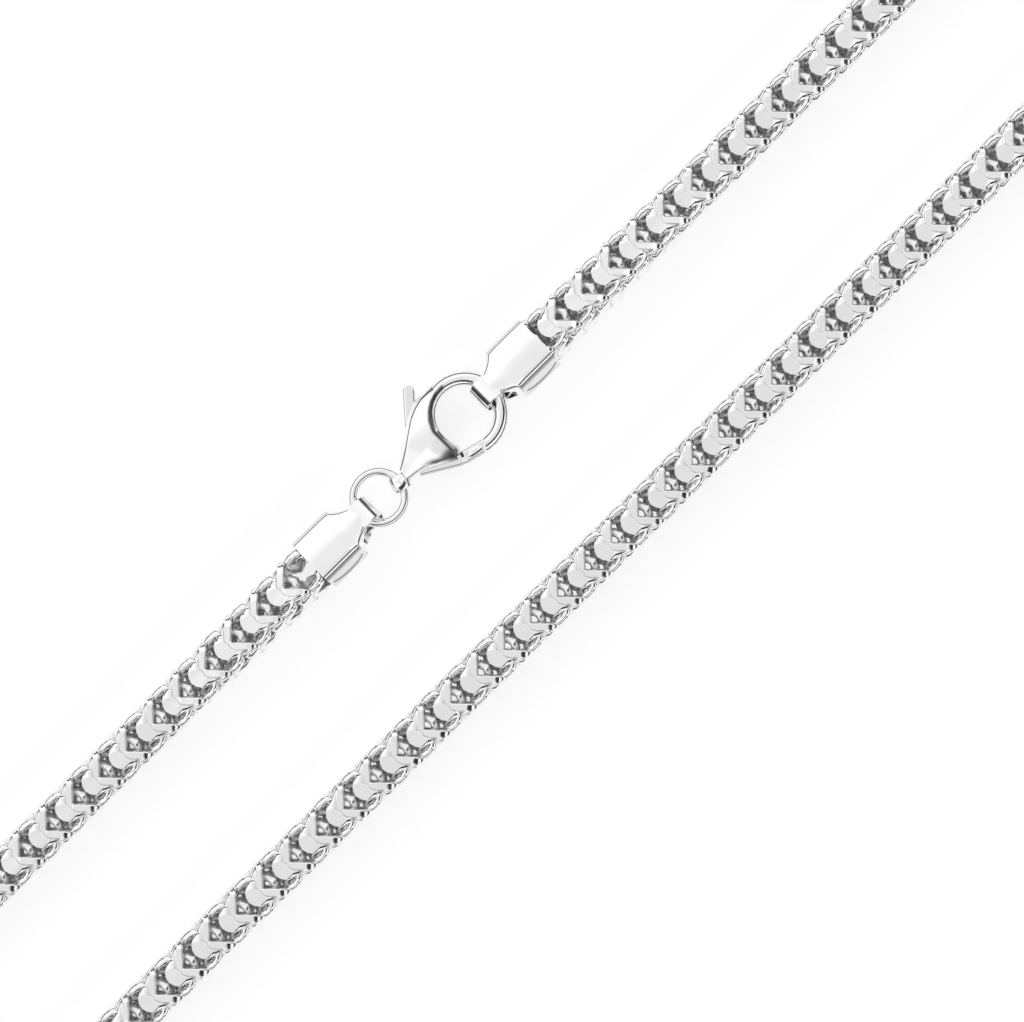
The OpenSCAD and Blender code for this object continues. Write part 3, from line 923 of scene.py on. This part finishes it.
def polar(angle, radius):
    """Points at these angles and at one radius round the ring's middle."""
    return hook_c + radius * np.stack([np.cos(angle), np.sin(angle)], axis=-1)


def spaced(points, share):
    """Places at these shares of the length of a line of points."""
    far = np.concatenate([[0], np.cumsum(np.linalg.norm(np.diff(points, axis=0), axis=1))])
    return np.stack([np.interp(share * far[-1], far, points[:, k]) for k in (0, 1)], axis=-1)


# %% Barrel and hook wire
BARREL_ROUND, BARREL_ROWS = 0.08, 49
WIRE_POINTS, RING_ROWS, RIM_ROWS = 28, 90, 16
TIP_START = 0.06
TIP_FADE = 10
HOOK_SPACING = 1.15
RIM_START, RIM_GROWTH = 0.04, 2.2
HEEL_OUT, HEEL_SHARE = 0.35, 0.75


def barrel():
    """A short tube across the clasp, with soft borders."""
    turn = np.linspace(0, 2 * math.pi, BARREL_ROWS)[:, None]
    h, r = BARREL_L / 2, BARREL_ROUND
    w = EYE_W + np.array([-h, -h + r, h - r, h, h, h - r, r - h, -h])[None]
    reach = np.array([BARREL_R - r, BARREL_R, BARREL_R, BARREL_R - r, BARREL_HOLE_R + r / 2,
                      BARREL_HOLE_R, BARREL_HOLE_R, BARREL_HOLE_R + r / 2])[None]
    return np.stack([reach * np.cos(turn), w + 0 * turn, reach * np.sin(turn)], axis=-1)


def hook_wire():
    """Round wire from its slanted tip, round the ring to the far left and down to the heel.

    The sections lie closer together at the tip. There each point is shifted by its distance
    from the wire's middle, which makes the slant. On the way down the section grows taller.
    """
    bend = np.linspace(0, 2 * math.pi, WIRE_POINTS, endpoint=False)[None]
    q, rise = HOOK_WIRE_R * np.cos(bend), HOOK_WIRE_R * np.sin(bend)
    share = np.linspace(0, 1, RING_ROWS)[:, None] ** HOOK_SPACING
    start = TIP_START - math.pi / 2
    angle = (start + share * (math.pi - start)
             - (1 - share) ** TIP_FADE * q * math.tan(TIP_SLANT) / hook_mid_r)
    ring = np.stack([HOOK_U + (hook_mid_r + q) * np.cos(angle),
                     HOOK_W + (hook_mid_r + q) * np.sin(angle), rise + 0 * angle], axis=-1)
    down = np.linspace(RIM_START, 1, RIM_ROWS)[:, None]
    tall = 1 + (RIM_HALF_T / HOOK_WIRE_R - 1) * np.clip(down * RIM_GROWTH, 0, 1)
    u = HOOK_U - hook_mid_r + down * RIM_L * math.sin(HEEL_TURN)
    w = HOOK_W - down * RIM_L * math.cos(HEEL_TURN)
    rim = np.stack([u - q * np.cos(HEEL_TURN * down), w - q * np.sin(HEEL_TURN * down),
                    rise * tall], axis=-1)
    end = rim[-1] + HEEL_OUT * np.array([math.sin(HEEL_TURN), -math.cos(HEEL_TURN), 0])
    middle = closed_end(end)
    rounded = middle + (end - middle) * HEEL_SHARE
    return np.concatenate([closed_end(ring[0])[None], ring, rim, rounded[None], middle[None]])


# %% Shell
# The shell's edges: the outer one from the barrel up to the ring's top, the lower one from the
# barrel to the gate, and the one where the shell drops to the wire, from the gate to the top.
outer_edge = np.concatenate([[[0.50, 1.46], [1.70, 2.85], [2.85, 4.15], [3.40, 4.75],
                              [4.15, 5.32], [5.10, 5.78], [6.10, 5.98]],
                             polar(np.radians([100]), hook_mid_r + HOOK_WIRE_R)])
low_edge = np.array([[0.74, 0.08], [1.7, 0.16], [2.6, 0.16], [3.8, -0.18], [5.22, -0.52]])
WIRE_OVERLAP = 0.06
hole_edge = np.concatenate([[[5.22, -0.52], [5.20, 0.30], [4.63, 2.45]],
                            polar(np.radians([175, 160, 145, 130, 115, 100]),
                                  hook_mid_r - WIRE_OVERLAP)])
SHELL_ROWS, SHELL_COLUMNS = 90, 44
# The share of the rows that end on the lower edge. The others end at the drop.
LOW_SHARE = 0.5
# Radius and wall share of the soft edge on the outside and at the drop.
OUTER_SOFT, INNER_SOFT = (0.55, 0.45), (0.3, 0.6)
# The ridge's height at the dome as a share of the dome's, and how fast it falls off beside it.
RIDGE_SHARE, RIDGE_FALL = 0.8, 0.6
JOIN_POWER = 6
# The share of the height at the barrel, and how fast it grows to 1.
BARREL_SHARE, BARREL_GROWTH = 0.72, 2.6


def soft_edge(distance, radius, wall):
    """The wall's share at the border, rising like a quarter circle to 1 at one radius."""
    t = np.clip(distance / radius, 0, 1)
    return wall + (1 - wall) * np.sqrt(1 - (1 - t) ** 2)


def shell_height(u, w):
    """Half height of the casting: a wide sphere over the dome and a cone along the ridge.

    They are joined softly: the root of the sum of their powers is close to the greater one.
    """
    off2 = (u - DOME_AT[0]) ** 2 + (w - DOME_AT[1]) ** 2
    sphere = DOME_H - DOME_R + np.sqrt(np.clip(DOME_R ** 2 - off2, 0, None))
    sphere = np.clip(sphere, 0, None)
    ridge = np.array(DOME_AT) - [0, EYE_W]
    length = np.linalg.norm(ridge)
    lay = ridge / length
    far = (u * lay[0] + (w - EYE_W) * lay[1]).clip(0, length)
    beside = -u * lay[1] + (w - EYE_W) * lay[0]
    reach = BARREL_R + (RIDGE_SHARE * DOME_H - BARREL_R) * far / length
    cone = np.sqrt(np.clip(reach ** 2 - RIDGE_FALL * beside ** 2, 0, None))
    return (sphere ** JOIN_POWER + cone ** JOIN_POWER) ** (1 / JOIN_POWER)


def shell():
    """The domed shell: a pillow between its outer edge and the lower edge and the drop.

    Each row goes straight across from one edge to the other. Its height is the casting's,
    times a soft edge at both ends, times a share that grows from the barrel on.
    """
    share = np.linspace(0, 1, SHELL_ROWS)
    low = spaced(low_edge, (share / LOW_SHARE).clip(0, 1))
    drop = spaced(hole_edge, ((share - LOW_SHARE) / (1 - LOW_SHARE)).clip(0, 1))
    inner = np.where((share < LOW_SHARE)[:, None], low, drop)
    outer = spaced(outer_edge, share)
    t = (1 - np.cos(np.linspace(0, math.pi, SHELL_COLUMNS))) / 2
    flat = outer[:, None] + (inner - outer)[:, None] * t[None, :, None]
    gap = np.linalg.norm(inner - outer, axis=1)[:, None]
    grown = BARREL_SHARE + (1 - BARREL_SHARE) * eased(share * BARREL_GROWTH)[:, None]
    high = (shell_height(flat[..., 0], flat[..., 1]) * grown
            * soft_edge(t * gap, *OUTER_SOFT) * soft_edge((1 - t) * gap, *INNER_SOFT))
    top = np.concatenate([flat, high[..., None]], axis=-1)
    bottom = (top * [1, 1, -1])[:, ::-1]
    around = np.concatenate([top, bottom], axis=1)
    return np.concatenate([closed_end(around[0])[None], around, closed_end(around[-1])[None]])


casting = skin_piece("clasp_casting",
                     [in_clasp(skin) for skin in (barrel(), hook_wire(), shell())],
                     clasp_metal_and_shade, "root", "clasp_body", CASTING_SHARP)

# %% [markdown]
# The corner under the shell's drop and the part down by the gate get painted shade: the
# casting is painted dark there.

# %% Painted shade in the corner and by the gate
CORNER_SHADE_W, CORNER_SHADE_FULL = 0.20, 1.3
GATE_SHADE_AT = np.array([5.0, -0.15])
GATE_SHADE_R, GATE_SHADE = 0.75, 0.9


def line_distance(points, line):
    """How far points of the plane are from a line of points."""
    a, b = line[:-1], line[1:] - line[:-1]
    off = points[:, None] - a
    t = ((off * b).sum(axis=-1) / (b * b).sum(axis=-1)).clip(0, 1)
    return np.linalg.norm(off - t[..., None] * b, axis=-1).min(axis=1)


casting_off = (points_of(casting) - hook_place)[:, :2] / MM
turn_back = np.array([[math.cos(clasp_turn), -math.sin(clasp_turn)],
                      [math.sin(clasp_turn), math.cos(clasp_turn)]])
casting_uw = casting_off @ turn_back + hook_c
# Painted shade: dark along the line of the drop and in a round patch by the gate.
corner = np.clip(CORNER_SHADE_FULL - line_distance(casting_uw, hole_edge) / CORNER_SHADE_W, 0, 1)
gate_far = np.linalg.norm(casting_uw - GATE_SHADE_AT, axis=1)
gate_shade = GATE_SHADE * np.exp(-(gate_far / GATE_SHADE_R) ** 2)
set_depth(casting, np.maximum(corner, gate_shade))

# %% [markdown]
# ## Lever and pin
# The lever is a second casting: a hub on the pin, a thumb tab, and an arm that ends in the
# gate, with a bare oval plate on it. Its borders are round, as tumbling leaves them. The tab and
# the arm are bars along a path. The pin is hidden in the shell, so the solid itself is enough.

# %% Lever from its four parts
PIVOT = np.array([1.7, 1.0])
HUB_R, PIN_HOLE_R = 0.7, 0.3
LEVER_HALF_T, PAD_HALF_T = 0.5, 0.65
TAB_W, TAB_REACH, TAB_TURN = 1.1, 6.7, math.radians(63)
ARM_START = PIVOT + [0.2, -0.62]
ARM_HALF_W, GATE_HALF_W = 0.55, 0.6
GATE_L, GATE_DROP, TIP_GAP = 2.3, 0.05, 0.06
PAD_STEP_AT, PAD_STEP_L = 0.25, 0.2
TAB_START, TAB_END_W = 0.2, 0.02
TAB_ROWS, TAB_END_ROWS, ARM_ROWS, HUB_ROWS = 20, 12, 60, 41
BORDER_R, BORDER_SHARE = 0.28, 0.6
BAR_FLAT_POINTS, PLATE_POINTS = 7, 48
CUT_FADE = 4
PLATE_BACK, PLATE_HALF_L, PLATE_HALF_W = 0.85, 0.72, 0.36
# Rings of the plate, from the one sunk in the gate to its middle: their size and their height.
PLATE_SHARES, PLATE_RISES = (1.0, 1.0, 0.93, 0.0), (-0.1, 0.03, 0.06, 0.06)


def bar_skin(path, half_w, half_t, tip_slope=0.0):
    """A bar with round borders along a path, its last section cut at a slope."""
    corner_y, corner_z, normal_y, normal_z = square_section(BAR_FLAT_POINTS).T
    along_path = unit(np.gradient(path, axis=0))
    side = np.stack([-along_path[:, 1], along_path[:, 0]], axis=-1)
    edge = np.minimum(BORDER_R, BORDER_SHARE * np.minimum(half_w, half_t))[:, None]
    y = corner_y * (half_w[:, None] - edge) + normal_y * edge
    z = corner_z * (half_t[:, None] - edge) + normal_z * edge
    cut = np.linspace(0, 1, len(path))[:, None] ** CUT_FADE * y * tip_slope
    flat = path[:, None] + side[:, None] * y[..., None] + along_path[:, None] * cut[..., None]
    rows = np.concatenate([flat, z[..., None]], axis=-1)
    return np.concatenate([closed_end(rows[0])[None], rows, closed_end(rows[-1])[None]])


def tab():
    """The thumb tab: a straight bar with a half-round end."""
    end = TAB_REACH - (1 - np.cos(np.linspace(math.pi / 2, 0, TAB_END_ROWS))) * TAB_W / 2
    far = np.concatenate([np.linspace(HUB_R - TAB_START, end[0], TAB_ROWS)[:-1], end])
    past = np.clip(far - end[0], 0, None)
    half = np.sqrt(np.clip((TAB_W / 2) ** 2 - past ** 2, TAB_END_W ** 2, None))
    path = PIVOT + far[:, None] * [math.cos(TAB_TURN), math.sin(TAB_TURN)]
    return bar_skin(path, half, np.full(len(far), LEVER_HALF_T))


def gate_arm():
    """The arm under the shell's lower edge and the gate that closes the hook."""
    gate_w = HOOK_W - hook_mid_r - GATE_DROP
    tip = HOOK_U + 2 * GATE_DROP - TIP_GAP
    line = np.array([ARM_START, [HOOK_U - GATE_L, gate_w], [tip, gate_w]])
    path = spaced(line, np.linspace(0, 1, ARM_ROWS))
    on_gate = np.clip((path[:, 0] - HOOK_U + GATE_L - PAD_STEP_AT) / PAD_STEP_L, 0, 1)
    half_w = ARM_HALF_W + (GATE_HALF_W - ARM_HALF_W) * on_gate
    half_t = LEVER_HALF_T + (PAD_HALF_T - LEVER_HALF_T) * on_gate
    return bar_skin(path, half_w, half_t, math.tan(TIP_SLANT))


def hub():
    """A flat ring round the pin."""
    turn = np.linspace(0, 2 * math.pi, HUB_ROWS)[:, None]
    t = LEVER_HALF_T
    reach = np.array([PIN_HOLE_R, HUB_R, HUB_R, PIN_HOLE_R])[None]
    return np.stack([PIVOT[0] + reach * np.cos(turn), PIVOT[1] + reach * np.sin(turn),
                     np.array([-t, -t, t, t])[None] + 0 * turn], axis=-1)


def gate_plate():
    """The bare oval plate on the gate, raised by a hair: ovals that shrink to its middle."""
    turn = np.linspace(0, 2 * math.pi, PLATE_POINTS, endpoint=False)[None]
    middle_u, middle_w = HOOK_U - PLATE_BACK, HOOK_W - hook_mid_r - GATE_DROP
    share = np.array(PLATE_SHARES)[:, None]
    rise = PAD_HALF_T + np.array(PLATE_RISES)[:, None]
    rows = np.stack([middle_u + PLATE_HALF_L * share * np.cos(turn),
                     middle_w + PLATE_HALF_W * share * np.sin(turn), rise + 0 * turn], axis=-1)
    return np.concatenate([closed_end(rows[0])[None], rows])


skin_piece("clasp_lever_casting",
           [in_clasp(skin) for skin in (tab(), gate_arm(), hub(), gate_plate())],
           polished, "lever", "clasp_lever", CASTING_SHARP)

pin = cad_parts["clasp_pin"]
pin.data.materials.clear()
pin.data.materials.append(pin_metal)
